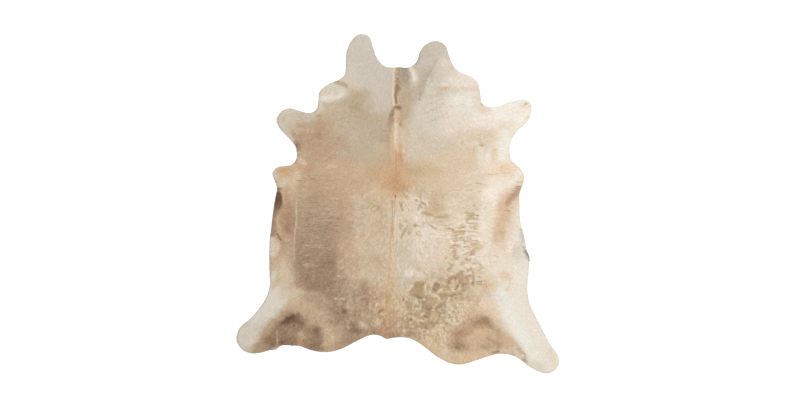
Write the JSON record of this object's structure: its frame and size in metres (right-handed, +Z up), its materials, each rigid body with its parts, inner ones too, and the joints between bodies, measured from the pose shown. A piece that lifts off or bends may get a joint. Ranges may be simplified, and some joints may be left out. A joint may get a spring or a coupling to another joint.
{
  "type": "cowhide rug",
  "caption": "Whole cowhide with its short coat on, laid out flat as a floor rug, with neck flaps, legs, haunches and soft uneven edges.",
  "frame": {"origin": "on the floor, under the middle of the hide's box", "axes": "+Y along the spine towards the neck, +X to the hide's right as seen from above with the neck away, +Z up out of the coat"},
  "size_m": [2.1368, 2.2496, 0.0192],
  "materials": {
    "hide": "short smooth coat, cream and taupe with brown markings, over pale suede"
  },
  "bodies": {
    "root": {"hide": "hide"}
  },
  "joints": []
}
